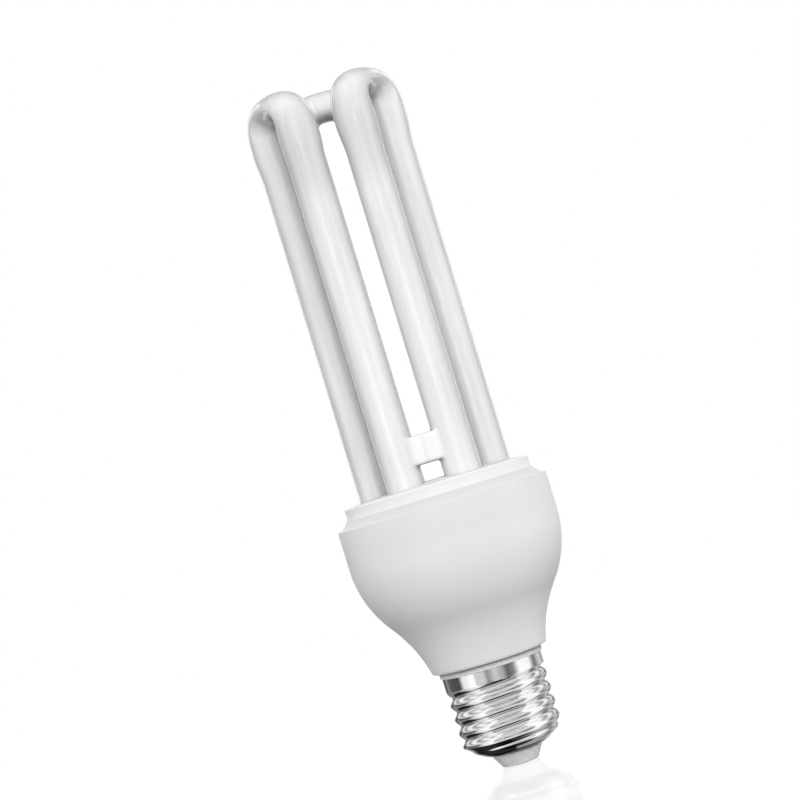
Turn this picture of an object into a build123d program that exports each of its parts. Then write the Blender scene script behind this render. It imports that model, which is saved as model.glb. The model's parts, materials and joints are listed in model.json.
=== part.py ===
"""Compact fluorescent bulb: three U-bent opal tubes on a moulded ballast housing with a screw base.

Millimetres, +Z up along the bulb, origin at the bottom of the centre contact.
"""

import math
import os

from build123d import *

os.makedirs("parts", exist_ok=True)

# The whole bulb, from the contact to the top of the bends
bulb_length = 179.8

# Centre contact and insulator
contact_r = 3.3
contact_proud = 0.25
contact_plate = 0.55
contact_stem_r = 1.2
insulator_tip_r = 4.7
insulator_root_r = 6.65
insulator_height = 3.3
insulator_collar = 2.6

# Rolled screw shell with a rounded right-hand thread of seven turns to the inch
shell_height = 22.3
shell_sheet = 0.3
shell_dome_r = 6.6
skirt_r = 13.15
skirt_height = 2.95
thread_crest_r = 13.1
thread_depth = 1.05
thread_pitch = 3.629
thread_start_drop = 1.4

# Lower housing: ring above the shell, flared neck, round body, open rim
ring_r = 13.5
ring_height = 1.6
neck_r = 15.25
neck_corner = 0.8
neck_flare_deg = 13.0
neck_arc_r = 35.0
body_arc_r = 28.6
body_straight = 9.85
cup_wall = 1.9
rim_lip = 0.9
stub_wall = 1.4
stub_rise = 2.75
board_ledge = 1.2

# Upper housing: flange in the rim, cove, collar with six holes, skirt down to the board
collar_margin = 4.4
collar_step = 3.25
flange_thickness = 1.5
cove_height = 2.5
cove_sag = 0.12
collar_height = 3.25
collar_edge = 0.35
cap_plate = 1.6
cap_wall = 1.5
cap_skirt = 8.9
snap_count = 4
snap_width = 6.0
snap_height = 1.6
snap_reach = 0.6
snap_drop = 3.0

# Discharge tube: six legs on a circle, three swollen bends, two bridges
leg_count = 6
leg_r = 4.85
leg_circle_r = 15.0
leg_depth = 10.75
leg_end_chamfer = 1.2
bend_r = 5.3
bend_corner_r = 5.5
swell_length = 8.0
bridge_r = 3.55
bridge_depth_r = 4.1
bridge_rise = 8.45
bridge_sides_deg = [-90.0, 30.0]
electrode_legs_deg = [120.0, 180.0]
press_width = 7.0
press_thickness = 2.4
press_depth = 2.4
exhaust_tip_r = 1.3
exhaust_tip_length = 2.0

# Cement that holds the legs under the cap
cement_depth = 3.0

# Ballast board and the parts under it
board_thickness = 1.6
part_gap = 1.3
lead_lane = 1.4
choke_width = 14.0
choke_depth = 4.6
choke_height = 13.0
choke_leg = 4.0
choke_yoke = 2.2
choke_air_gap = 0.2
bobbin_wall = 0.6
bobbin_depth = 11.0
winding_round = 1.5
capacitor_r = 5.0
capacitor_length = 18.0
capacitor_crimp = 0.5
crimp_height = 1.2
crimp_drop = 2.0
toroid_r = 4.6
toroid_hole_r = 2.6
toroid_height = 4.0
toroid_turn = 0.35
toroid_windings_count = 3
toroid_winding_deg = 50.0
transistor_width = 8.0
transistor_thickness = 3.2
transistor_height = 9.0
transistor_leg = 0.7
transistor_leg_length = 2.0
transistor_leg_pitch = 2.3
diode_count = 4
diode_length = 4.4
diode_width = 2.6
diode_height = 2.2
diode_bevel = 0.3
film_length = 10.0
film_depth = 5.0
film_height = 8.5
film_round = 1.0
input_choke_r = 3.6
input_choke_height = 8.0
input_choke_flange = 1.0
input_choke_waist = 0.6
fuse_r = 1.7
fuse_length = 8.0
diac_r = 0.95
diac_length = 4.0
axial_lead_r = 0.3
axial_reach = 1.2
chip_length = 2.0
chip_width = 1.25
chip_height = 0.6
wrap_pin_side = 0.8
wrap_pin_height = 3.4
electrode_lead_r = 0.25
electrode_lead_pitch = 3.2
mains_lead_r = 0.4
mains_lead_bend = 1.5

# Clearances
press_gap = 0.05
slide_gap = 0.1
hole_gap = 0.15

# Radii that follow from the sizes above
thread_root_r = thread_crest_r - thread_depth
shell_bore_r = thread_root_r - shell_sheet
skirt_bore_r = skirt_r - shell_sheet
insulator_neck_r = insulator_root_r - shell_sheet
insulator_collar_r = insulator_root_r + shell_sheet
stub_r = shell_bore_r - press_gap
stub_bore_r = stub_r - stub_wall
collar_r = leg_circle_r + leg_r + collar_margin
collar_bore_r = collar_r - cap_wall
body_r = collar_r + collar_step
body_bore_r = body_r - cup_wall
rim_bore_r = body_r - rim_lip
flange_r = rim_bore_r - press_gap
cap_skirt_r = body_bore_r - slide_gap
cap_skirt_bore_r = cap_skirt_r - cap_wall
board_r = body_bore_r - slide_gap

# Heights from the tip up to the neck
z_shell = contact_proud + insulator_height
z_insulator_top = z_shell + shell_sheet + insulator_collar
shell_cone = shell_bore_r - insulator_collar_r - press_gap
z_shell_cone = z_shell + shell_sheet + shell_cone
z_skirt_top = z_shell + shell_height
z_skirt = z_skirt_top - skirt_height
z_stub = z_shell_cone + stub_rise
z_neck = z_skirt_top + ring_height
z_flare = z_neck + neck_corner

# The neck's arc and the body's arc meet with one tangent where the profile turns over
flare = math.radians(neck_flare_deg)
arcs_r = neck_arc_r + body_arc_r
lean = math.acos((neck_arc_r * math.cos(flare) + body_arc_r - (body_r - neck_r)) / arcs_r)
turn_r = neck_r + neck_arc_r * (math.cos(flare) - math.cos(lean))
z_turn = z_flare + neck_arc_r * (math.sin(lean) - math.sin(flare))
z_shoulder = z_turn + body_arc_r * math.sin(lean)

# Heights from the body up to the top of the bends
z_rim = z_shoulder + body_straight
z_ledge = z_rim - flange_thickness
z_collar = z_rim + cove_height
z_cap = z_collar + collar_height
z_plate = z_cap - cap_plate
z_board_top = z_ledge - cap_skirt
z_board = z_board_top - board_thickness
z_leg_end = z_cap - leg_depth
z_press_end = z_leg_end - press_depth
z_bridge = z_cap + bridge_rise

# The six legs stand on a circle, in pairs under the three bends
leg_step_deg = 360 / leg_count
bend_angles = [leg_step_deg * (2 * i + 1.5) for i in range(leg_count // 2)]


def polar(radius, degrees):
    """A point on a circle about the bulb's axis."""
    return radius * math.cos(math.radians(degrees)), radius * math.sin(math.radians(degrees))


def write(builder, name):
    """Labels a finished piece and writes its file."""
    builder.part.label = name
    export_step(builder.part, f"parts/{name}.step")


# Centre contact: a plate under the cone with a hollow stem for the wire
z_stem_top = z_insulator_top + contact_plate
contact_bore_r = mains_lead_r + slide_gap
with BuildPart() as centre_contact:
    with BuildSketch():
        Circle(contact_r)
    extrude(amount=contact_plate)
    chamfer(centre_contact.edges().group_by(Axis.Z)[0], length=contact_proud / 2)
    with BuildSketch(Plane.XY.offset(contact_plate)):
        Circle(contact_stem_r)
        Circle(contact_bore_r, mode=Mode.SUBTRACT)
    extrude(amount=z_stem_top - contact_plate)
write(centre_contact, "centre_contact")

# Insulator: cone outside, neck through the shell's bottom hole, collar inside
with BuildPart() as base_insulator:
    with BuildSketch(Plane.XZ):
        with BuildLine():
            Polyline(
                (contact_stem_r + press_gap, contact_plate),
                (contact_r + press_gap, contact_plate),
                (contact_r + press_gap, contact_proud),
                (insulator_tip_r, contact_proud),
                (insulator_root_r, z_shell),
                (insulator_neck_r, z_shell),
                (insulator_neck_r, z_shell + shell_sheet),
                (insulator_collar_r, z_shell + shell_sheet),
                (insulator_collar_r, z_insulator_top),
                (contact_stem_r + press_gap, z_insulator_top),
                close=True,
            )
        make_face()
    revolve(axis=Axis.Z)
write(base_insulator, "base_insulator")

# Screw shell: core, helical ridge, skirt, domed bottom that the ridge runs out on, bores
ridge_crest = thread_pitch / 8
ridge_slope = thread_pitch / 4 / thread_depth
ridge_foot = thread_depth + shell_sheet / 2
ridge_root = ridge_crest + ridge_slope * ridge_foot
z_ridge = z_shell - thread_start_drop
z_under = z_ridge - ridge_root - slide_gap
dome_flat_r = skirt_r - shell_dome_r
outside_r = skirt_r + thread_depth
with BuildPart() as screw_shell:
    with BuildSketch(Plane.XY.offset(z_shell)):
        Circle(thread_root_r)
    extrude(amount=shell_height)
    with BuildLine():
        ridge_path = Helix(
            pitch=thread_pitch,
            height=z_skirt - z_ridge,
            radius=thread_crest_r,
            center=(0, 0, z_ridge),
        )
    with BuildSketch(Plane(origin=ridge_path @ 0, x_dir=(1, 0, 0), z_dir=ridge_path % 0)):
        with BuildLine():
            Polyline(
                (0, -ridge_crest),
                (0, ridge_crest),
                (-ridge_foot, ridge_root),
                (-ridge_foot, -ridge_root),
                close=True,
            )
        make_face()
    sweep(path=ridge_path, is_frenet=True)
    with BuildSketch(Plane.XZ):
        with BuildLine():
            Polyline(
                (shell_bore_r, z_skirt - thread_depth),
                (thread_root_r, z_skirt - thread_depth),
                (skirt_r, z_skirt),
                (skirt_r, z_skirt_top),
                (shell_bore_r, z_skirt_top),
                close=True,
            )
        make_face()
    revolve(axis=Axis.Z)
    with BuildSketch(Plane.XZ):
        with BuildLine():
            RadiusArc((dome_flat_r, z_shell), (skirt_r, z_shell + shell_dome_r), -shell_dome_r)
            Polyline(
                (skirt_r, z_shell + shell_dome_r),
                (outside_r, z_shell + shell_dome_r),
                (outside_r, z_under),
                (0, z_under),
                (0, z_shell),
                (dome_flat_r, z_shell),
            )
        make_face()
    revolve(axis=Axis.Z, mode=Mode.SUBTRACT)
    with BuildSketch(Plane.XZ):
        with BuildLine():
            Polyline(
                (0, z_shell),
                (insulator_neck_r + press_gap, z_shell),
                (insulator_neck_r + press_gap, z_shell + shell_sheet),
                (insulator_collar_r + press_gap, z_shell + shell_sheet),
                (shell_bore_r, z_shell_cone),
                (shell_bore_r, z_skirt),
                (skirt_bore_r, z_skirt + thread_depth),
                (skirt_bore_r, z_skirt_top),
                (0, z_skirt_top),
                close=True,
            )
        make_face()
    revolve(axis=Axis.Z, mode=Mode.SUBTRACT)
write(screw_shell, "screw_shell")

# Lower housing: stub inside the shell, ring, neck and body joined by two tangent arcs, rim with a seat
with BuildPart() as lower_housing:
    with BuildSketch(Plane.XZ):
        with BuildLine():
            Polyline(
                (stub_bore_r, z_stub),
                (stub_r, z_stub),
                (stub_r, z_skirt),
                (skirt_bore_r - press_gap, z_skirt + thread_depth),
                (skirt_bore_r - press_gap, z_skirt_top),
                (ring_r, z_skirt_top),
                (ring_r, z_neck),
                (neck_r - neck_corner, z_neck),
                (neck_r, z_flare),
            )
            RadiusArc((neck_r, z_flare), (turn_r, z_turn), neck_arc_r)
            RadiusArc((turn_r, z_turn), (body_r, z_shoulder), -body_arc_r)
            Polyline(
                (body_r, z_shoulder),
                (body_r, z_rim),
                (rim_bore_r, z_rim),
                (rim_bore_r, z_ledge),
                (body_bore_r, z_ledge),
                (body_bore_r, z_board),
                (body_bore_r - board_ledge, z_board),
                (turn_r - cup_wall * math.cos(lean), z_turn + cup_wall * math.sin(lean)),
                (neck_r - cup_wall * math.cos(flare), z_flare + cup_wall * math.sin(flare)),
                (stub_bore_r, z_flare + cup_wall * math.sin(flare)),
                (stub_bore_r, z_stub),
            )
        make_face()
    revolve(axis=Axis.Z)
    with BuildSketch(Plane.XY.offset(z_ledge - snap_drop - snap_height - slide_gap)):
        with PolarLocations(body_bore_r, snap_count, start_angle=leg_step_deg / 2):
            Rectangle(2 * (snap_reach + slide_gap), snap_width + 2 * slide_gap)
    extrude(amount=snap_height + 2 * slide_gap, mode=Mode.SUBTRACT)
write(lower_housing, "lower_housing")

# Upper housing: flange, cove, collar, plate with six holes, skirt with snap lugs
cove_middle = ((flange_r + collar_r) / 2 - cove_sag, (z_rim + z_collar) / 2 - cove_sag)
with BuildPart() as upper_housing:
    with BuildSketch(Plane.XZ):
        with BuildLine():
            Polyline(
                (0, z_plate),
                (collar_bore_r, z_plate),
                (collar_bore_r, z_ledge),
                (cap_skirt_bore_r, z_ledge),
                (cap_skirt_bore_r, z_board_top),
                (cap_skirt_r, z_board_top),
                (cap_skirt_r, z_ledge),
                (flange_r, z_ledge),
                (flange_r, z_rim),
            )
            ThreePointArc((flange_r, z_rim), cove_middle, (collar_r, z_collar))
            Polyline(
                (collar_r, z_collar),
                (collar_r, z_cap - collar_edge),
                (collar_r - collar_edge, z_cap),
                (0, z_cap),
                (0, z_plate),
            )
        make_face()
    revolve(axis=Axis.Z)
    with BuildSketch(Plane.XY.offset(z_ledge - snap_drop - snap_height)):
        with PolarLocations(cap_skirt_r, snap_count, start_angle=leg_step_deg / 2):
            Rectangle(2 * snap_reach, snap_width)
    extrude(amount=snap_height)
    with BuildSketch(Plane.XY.offset(z_plate)):
        with PolarLocations(leg_circle_r, leg_count):
            Circle(leg_r + hole_gap)
    extrude(amount=cap_plate, mode=Mode.SUBTRACT)
write(upper_housing, "upper_housing")

# Discharge tube: legs, swollen bends, bridges near the cap, pressed electrode ends, exhaust tip
leg_half = leg_circle_r * math.sin(math.radians(leg_step_deg / 2))
pair_r = leg_circle_r * math.cos(math.radians(leg_step_deg / 2))
bend_run = leg_half - bend_corner_r
z_bend = bulb_length - bend_r - bend_corner_r
z_swell = z_bend - swell_length
with BuildPart() as discharge_tube:
    with BuildSketch(Plane.XY.offset(z_leg_end)):
        with PolarLocations(leg_circle_r, leg_count):
            Circle(leg_r)
    extrude(amount=z_swell - z_leg_end)
    chamfer(discharge_tube.edges().group_by(Axis.Z)[0], length=leg_end_chamfer)
    with Locations((0, 0, z_swell + swell_length / 2)):
        with PolarLocations(leg_circle_r, leg_count):
            Cone(leg_r, bend_r, swell_length)
    for angle in bend_angles:
        outward = Vector(*polar(1, angle))
        along = Vector(*polar(1, angle + 90))
        middle = outward * pair_r + Vector(0, 0, z_bend)
        for side in (-1, 1):
            with BuildSketch(Plane(origin=middle + along * side * leg_half, x_dir=outward, z_dir=(0, 0, 1))):
                Circle(bend_r)
            revolve(axis=Axis(middle + along * side * bend_run, outward * side), revolution_arc=90)
        with BuildSketch(Plane(origin=middle + Vector(0, 0, bend_corner_r), x_dir=outward, z_dir=along)):
            Circle(bend_r)
        extrude(amount=bend_run, both=True)
    for angle in bridge_sides_deg:
        middle = Vector(*polar(pair_r, angle), z_bridge)
        with BuildSketch(Plane(origin=middle, x_dir=(0, 0, 1), z_dir=polar(1, angle + 90) + (0,))):
            Ellipse(bridge_r, bridge_depth_r)
        extrude(amount=leg_half, both=True)
    with BuildSketch(Plane.XY.offset(z_press_end)):
        for angle in electrode_legs_deg:
            with Locations(Location((*polar(leg_circle_r, angle), 0), (0, 0, angle))):
                Rectangle(press_thickness, press_width)
    extrude(amount=press_depth + leg_end_chamfer)
    with BuildSketch(Plane.XY.offset(z_leg_end - exhaust_tip_length)):
        with Locations((leg_circle_r, 0)):
            Circle(exhaust_tip_r)
    extrude(amount=exhaust_tip_length)
write(discharge_tube, "discharge_tube")

# Cement: a disc under the cap's plate that grips the six legs
with BuildPart() as tube_cement:
    with BuildSketch(Plane.XY.offset(z_plate)):
        Circle(collar_bore_r - slide_gap)
        with PolarLocations(leg_circle_r, leg_count):
            Circle(leg_r + press_gap, mode=Mode.SUBTRACT)
    extrude(amount=-cement_depth)
write(tube_cement, "tube_cement")

# Ballast board on the ledge inside the cup
with BuildPart() as ballast_board:
    with BuildSketch(Plane.XY.offset(z_board)):
        Circle(board_r)
    extrude(amount=board_thickness)
write(ballast_board, "ballast_board")

# Lamp choke: two E cores with an air gap between them, a bobbin on the middle leg, a winding on the bobbin
choke_x = -lead_lane - choke_width / 2
z_choke = z_board - choke_height / 2
window_width = (choke_width - choke_leg) / 2 - choke_yoke
window_height = choke_height - 2 * choke_yoke
window_x = (choke_leg + window_width) / 2
with BuildPart() as choke_core:
    with BuildSketch(Plane.XZ):
        with Locations((choke_x, z_choke)):
            Rectangle(choke_width, choke_height)
            Rectangle(choke_width, choke_air_gap, mode=Mode.SUBTRACT)
        with Locations((choke_x - window_x, z_choke), (choke_x + window_x, z_choke)):
            Rectangle(window_width, window_height, mode=Mode.SUBTRACT)
    extrude(amount=choke_depth / 2, both=True)
write(choke_core, "choke_core")

bobbin_height = window_height - 2 * press_gap
bobbin_width = choke_leg + 2 * window_width - 2 * press_gap
tube_width = choke_leg + 2 * (press_gap + bobbin_wall)
tube_depth = choke_depth + 2 * (press_gap + bobbin_wall)
winding_height = bobbin_height - 2 * (bobbin_wall + press_gap)
with BuildPart() as choke_bobbin:
    with BuildSketch(Plane.XY.offset(z_choke)):
        with Locations((choke_x, 0)):
            Rectangle(bobbin_width, bobbin_depth)
    extrude(amount=bobbin_height / 2, both=True)
    with BuildSketch(Plane.XY.offset(z_choke)):
        with Locations((choke_x, 0)):
            Rectangle(bobbin_width, bobbin_depth)
            Rectangle(tube_width, tube_depth, mode=Mode.SUBTRACT)
    extrude(amount=bobbin_height / 2 - bobbin_wall, both=True, mode=Mode.SUBTRACT)
    with BuildSketch(Plane.XY.offset(z_choke)):
        with Locations((choke_x, 0)):
            Rectangle(choke_leg + 2 * press_gap, choke_depth + 2 * press_gap)
    extrude(amount=bobbin_height / 2, both=True, mode=Mode.SUBTRACT)
write(choke_bobbin, "choke_bobbin")

with BuildPart() as choke_winding:
    with BuildSketch(Plane.XY.offset(z_choke)):
        with Locations((choke_x, 0)):
            RectangleRounded(bobbin_width, bobbin_depth - 2 * bobbin_wall, winding_round)
            Rectangle(tube_width + 2 * press_gap, tube_depth + 2 * press_gap, mode=Mode.SUBTRACT)
    extrude(amount=winding_height / 2, both=True)
write(choke_winding, "choke_winding")

# Bulk capacitor: hangs down into the neck, with a crimp near the board
capacitor_x = lead_lane + capacitor_r
with BuildPart() as bulk_capacitor:
    with BuildSketch(Plane.XY.offset(z_board)):
        with Locations((capacitor_x, 0)):
            Circle(capacitor_r)
    extrude(amount=-capacitor_length)
    with BuildSketch(Plane.XY.offset(z_board - crimp_drop)):
        with Locations((capacitor_x, 0)):
            Circle(capacitor_r)
            Circle(capacitor_r - capacitor_crimp, mode=Mode.SUBTRACT)
    extrude(amount=-crimp_height, mode=Mode.SUBTRACT)
write(bulk_capacitor, "bulk_capacitor")


def film_capacitor(middle_y):
    """A dipped film capacitor beside the lamp choke."""
    with BuildPart() as body:
        with BuildSketch(Plane.XY.offset(z_board)):
            with Locations((choke_x, middle_y)):
                RectangleRounded(film_length, film_depth, film_round)
        extrude(amount=-film_height)
    return body


film_y = (bobbin_depth + film_depth) / 2 + part_gap
write(film_capacitor(-film_y), "resonance_capacitor")
write(film_capacitor(film_y), "coupling_capacitor")


def transistor(middle_y):
    """A power transistor that stands on three legs beside the bulk capacitor."""
    with BuildPart() as body:
        with BuildSketch(Plane.XY.offset(z_board - transistor_leg_length)):
            with Locations((capacitor_x, middle_y)):
                Rectangle(transistor_width, transistor_thickness)
        extrude(amount=-transistor_height)
        with BuildSketch(Plane.XY.offset(z_board)):
            with Locations((capacitor_x, middle_y)):
                with GridLocations(transistor_leg_pitch, 0, 3, 1):
                    Rectangle(transistor_leg, transistor_leg)
        extrude(amount=-transistor_leg_length)
    return body


transistor_y = capacitor_r + part_gap + transistor_thickness / 2
write(transistor(transistor_y), "transistor_high")
write(transistor(-transistor_y), "transistor_low")

# Drive transformer: ferrite ring under the board with three short windings around it
toroid_x = transistor_width / 2
toroid_y = -transistor_y - transistor_thickness / 2 - part_gap - toroid_r - toroid_turn
toroid_axis = Axis((toroid_x, toroid_y, 0), (0, 0, 1))
z_toroid = z_board - toroid_turn - toroid_height / 2
ring_width = toroid_r - toroid_hole_r
ring_middle_r = (toroid_r + toroid_hole_r) / 2
with BuildPart() as drive_toroid:
    with BuildSketch(Plane.XY.offset(z_toroid)):
        with Locations((toroid_x, toroid_y)):
            Circle(toroid_r)
            Circle(toroid_hole_r, mode=Mode.SUBTRACT)
    extrude(amount=toroid_height / 2, both=True)
write(drive_toroid, "drive_toroid")

with BuildPart() as toroid_windings:
    for i in range(toroid_windings_count):
        along = Vector(*polar(1, i * 360 / toroid_windings_count))
        with BuildSketch(Plane((toroid_x, toroid_y, z_toroid), x_dir=along, z_dir=along.cross(Vector(0, 0, 1)))):
            with Locations((ring_middle_r, 0)):
                Rectangle(ring_width + 2 * toroid_turn, toroid_height + 2 * toroid_turn)
                Rectangle(ring_width + 2 * press_gap, toroid_height + 2 * press_gap, mode=Mode.SUBTRACT)
        revolve(axis=toroid_axis, revolution_arc=toroid_winding_deg)
write(toroid_windings, "toroid_windings")


def rectifier_diode(middle_y):
    """A flat diode in the row beside the bulk capacitor."""
    with BuildPart() as body:
        with BuildSketch(Plane.XY.offset(z_board)):
            with Locations((diode_x, middle_y)):
                Rectangle(diode_width, diode_length)
        extrude(amount=-diode_height)
        chamfer(body.edges().group_by(Axis.Z)[0], length=diode_bevel)
    return body


diode_x = capacitor_x + capacitor_r + part_gap + diode_width / 2
diode_step = diode_length + part_gap
for i in range(diode_count):
    write(rectifier_diode((i - (diode_count - 1) / 2) * diode_step), f"rectifier_diode_{i + 1}")
diode_row_end = (diode_count * diode_step - part_gap) / 2

# Input choke: a drum core with its wire between two flanges
input_choke_x = toroid_x
input_choke_y = transistor_y + transistor_thickness / 2 + part_gap + input_choke_r
with BuildPart() as input_choke:
    with BuildSketch(Plane.XY.offset(z_board)):
        with Locations((input_choke_x, input_choke_y)):
            Circle(input_choke_r)
    extrude(amount=-input_choke_height)
    with BuildSketch(Plane.XY.offset(z_board - input_choke_flange)):
        with Locations((input_choke_x, input_choke_y)):
            Circle(input_choke_r)
            Circle(input_choke_r - input_choke_waist, mode=Mode.SUBTRACT)
    extrude(amount=2 * input_choke_flange - input_choke_height, mode=Mode.SUBTRACT)
write(input_choke, "input_choke")


def axial_part(middle_x, middle_y, body_r, length):
    """A round part lying along X under the board, with a lead turned up at each end."""
    z_axis = z_board - body_r
    lead_x = length / 2 + axial_reach
    with BuildPart() as body:
        with BuildLine():
            lead = Polyline(
                (middle_x - lead_x, middle_y, z_board),
                (middle_x - lead_x, middle_y, z_axis),
                (middle_x + lead_x, middle_y, z_axis),
                (middle_x + lead_x, middle_y, z_board),
            )
        with BuildSketch(Plane(origin=lead @ 0, z_dir=lead % 0)):
            Circle(axial_lead_r)
        sweep(path=lead, transition=Transition.RIGHT)
        with BuildSketch(Plane.YZ.offset(middle_x)):
            with Locations((middle_y, z_axis)):
                Circle(body_r)
        extrude(amount=length / 2, both=True)
    return body


fuse_y = film_y + film_depth / 2 + part_gap + fuse_r
write(axial_part(choke_x, fuse_y, fuse_r, fuse_length), "fuse_resistor")
diac_x = input_choke_x + input_choke_r + part_gap + axial_reach + diac_length / 2
diac_y = diode_row_end + part_gap + diac_r
write(axial_part(diac_x, diac_y, diac_r, diac_length), "start_diac")

# Chip resistors, two by two, past the end of the diode row
chip_x = toroid_x + toroid_r + toroid_turn + part_gap + chip_length / 2
chip_y = -diode_row_end - part_gap - chip_width / 2
chip_step_x = chip_length + part_gap
chip_step_y = chip_width + part_gap
with BuildPart() as board_resistors:
    with BuildSketch(Plane.XY.offset(z_board)):
        with Locations((chip_x + chip_step_x / 2, chip_y - chip_step_y / 2)):
            with GridLocations(chip_step_x, chip_step_y, 2, 2):
                Rectangle(chip_length, chip_width)
    extrude(amount=-chip_height)
write(board_resistors, "board_resistors")

# Electrode wires straight down from the pressed ends, and the posts beside them on the board
wrap_pin_r = leg_circle_r + press_thickness / 2 + part_gap / 2 + wrap_pin_side / 2
lead_sides = [-electrode_lead_pitch / 2, electrode_lead_pitch / 2]
with BuildPart() as wrap_pins:
    for angle in electrode_legs_deg:
        with BuildSketch(Plane.XY.offset(z_board_top).rotated((0, 0, angle))):
            with Locations([(wrap_pin_r, side) for side in lead_sides]):
                Rectangle(wrap_pin_side, wrap_pin_side)
        extrude(amount=wrap_pin_height)
write(wrap_pins, "wrap_pins")

for n, angle in enumerate(electrode_legs_deg):
    for i, side in enumerate(lead_sides):
        with BuildPart() as electrode_lead:
            with BuildSketch(Plane.XY.offset(z_board_top).rotated((0, 0, angle))):
                with Locations((leg_circle_r, side)):
                    Circle(electrode_lead_r)
            extrude(amount=z_press_end - z_board_top)
        write(electrode_lead, f"electrode_lead_{2 * n + i + 1}")

# Mains wires: one down the axis into the contact's stem, one bent out to the shell below the stub
with BuildPart() as contact_lead:
    with BuildSketch(Plane.XY.offset(contact_plate)):
        Circle(mains_lead_r)
    extrude(amount=z_board - contact_plate)
write(contact_lead, "contact_lead")

shell_lead_y = stub_bore_r - part_gap
shell_lead_end = math.sqrt(shell_bore_r**2 - mains_lead_r**2)
z_shell_lead = z_shell_cone + stub_rise / 2
with BuildPart() as shell_lead:
    with BuildLine():
        FilletPolyline(
            (0, shell_lead_y, z_board),
            (0, shell_lead_y, z_shell_lead),
            (0, shell_lead_end, z_shell_lead),
            radius=mains_lead_bend,
        )
    with BuildSketch(Plane((0, shell_lead_y, z_board), z_dir=(0, 0, -1))):
        Circle(mains_lead_r)
    sweep()
write(shell_lead, "shell_lead")
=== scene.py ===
"""Compact fluorescent bulb, dressed for its photograph: opal tubes, satin housing, nickel screw base."""

import json
import math

import bmesh
import bpy
from mathutils import Matrix, Vector


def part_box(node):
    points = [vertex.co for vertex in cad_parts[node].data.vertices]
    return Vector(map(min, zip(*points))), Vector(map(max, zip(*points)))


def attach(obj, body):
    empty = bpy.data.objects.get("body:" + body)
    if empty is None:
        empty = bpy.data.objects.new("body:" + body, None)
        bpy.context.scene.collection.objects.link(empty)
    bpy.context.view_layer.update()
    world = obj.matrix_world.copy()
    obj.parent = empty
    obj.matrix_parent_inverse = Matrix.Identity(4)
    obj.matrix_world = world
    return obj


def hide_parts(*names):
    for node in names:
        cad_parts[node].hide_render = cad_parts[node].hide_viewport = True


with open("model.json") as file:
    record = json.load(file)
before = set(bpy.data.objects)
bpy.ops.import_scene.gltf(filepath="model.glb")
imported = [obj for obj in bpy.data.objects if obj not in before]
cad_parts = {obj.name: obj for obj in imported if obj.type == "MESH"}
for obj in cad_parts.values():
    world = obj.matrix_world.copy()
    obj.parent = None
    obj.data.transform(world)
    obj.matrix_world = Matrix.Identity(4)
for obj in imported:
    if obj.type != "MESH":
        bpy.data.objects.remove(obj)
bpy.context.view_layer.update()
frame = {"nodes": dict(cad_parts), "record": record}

MM = 0.001
TURN = 2 * math.pi
UP = Vector((0, 0, 1))


# Places read from the frame, in millimetres

def low(node):
    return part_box(node)[0] / MM


def high(node):
    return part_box(node)[1] / MM


BODY_R = high("lower_housing").x
Z_STUB = low("lower_housing").z
Z_RIM = high("lower_housing").z
Z_SHELL = low("screw_shell").z
Z_SKIRT_TOP = high("screw_shell").z
SKIRT_R = high("screw_shell").x
Z_CAP = high("upper_housing").z
FLANGE_R = high("upper_housing").x
Z_BOARD = low("ballast_board").z
Z_BOARD_TOP = high("ballast_board").z
Z_APEX = high("discharge_tube").z
Z_PRESS_END = low("discharge_tube").z
Z_INSULATOR_TOP = high("base_insulator").z
Z_CONTACT_TOP = high("centre_contact").z

# Discharge tube, in millimetres. A squareness of two is an ellipse, and more is squarer
LEG_R = 4.85
LEG_CIRCLE_R = 15.0
LEG_COUNT = 6
LEG_STEP = TURN / LEG_COUNT
BEND_DEGREES = (90, 210, 330)
BRIDGE_DEGREES = (270, 30)
ELECTRODE_DEGREES = (120, 180)
LEG_END_CHAMFER = 1.2
PRESS_DEPTH = 2.4
PRESS_WIDTH = 7.0
PRESS_THICKNESS = 2.4
SWELL_LENGTH = 8.0
BEND_OUTER = 5.3
BEND_INNER = 4.75
BEND_WIDE = 5.35
BEND_RISE = 13.4
BEND_SQUARE = 2.5
APEX_THICKNESS = 8.0
ARCH_SQUARE = 4.0
# The inner half of each bend's section: one leaves it round, more draws it to a ridge, less makes it squarer
BEND_KEELS = (0.6, 1.7, 1.7)
KEEL_RUN = (0.05, 0.6)
BRIDGE_R = 3.75
BRIDGE_DEPTH_R = 3.7
BRIDGE_RISE = 8.25
BRIDGE_FILLET = 0.8
BRIDGE_DEPTH_FILLET = 0.3
BRIDGE_SQUARE = 9.0
BRIDGE_SINK = 0.02

# Screw shell
SHELL_SHEET = 0.3
FOOT_HEIGHT = 4.2
FOOT_ROUND = 1.3
FOOT_GROOVE = 1.4
FOOT_LIP = 0.6
CREST_R = 13.1
THREAD_DEPTH = 1.05
THREAD_PITCH = 3.629
THREAD_DROP = 1.4
THREAD_PHASE = Z_SHELL - THREAD_DROP
THREAD_ROUND = 0.65
START_TURNS = 1.5
SKIRT_HEIGHT = 2.95
SKIRT_LEAD = 0.45
SKIRT_RUN_IN = 0.6
SKIRT_STEP = 1.0

# Lower housing
RING_R = 13.5
RING_HEIGHT = 1.6
RING_ROUND = 0.35
GROOVE_DEPTH = 0.45
GROOVE_TOP = 0.35
GROOVE_FOOT = 0.55
GROOVE_ROUND = 0.1
GROOVE_EDGE_ROUND = 0.25
NECK_R = 15.25
NECK_INSET = 0.3
NECK_ROUND = 0.55
NECK_CORNER = 0.8
NECK_FLARE = math.radians(13)
NECK_ARC_R = 35.0
BODY_ARC_R = 28.6
CUP_WALL = 1.9
RIM_LIP = 0.9
LIP_ROUND = 0.1
STUB_WALL = 1.4
STUB_FIT = 0.05
BOARD_LEDGE = 1.2

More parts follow.
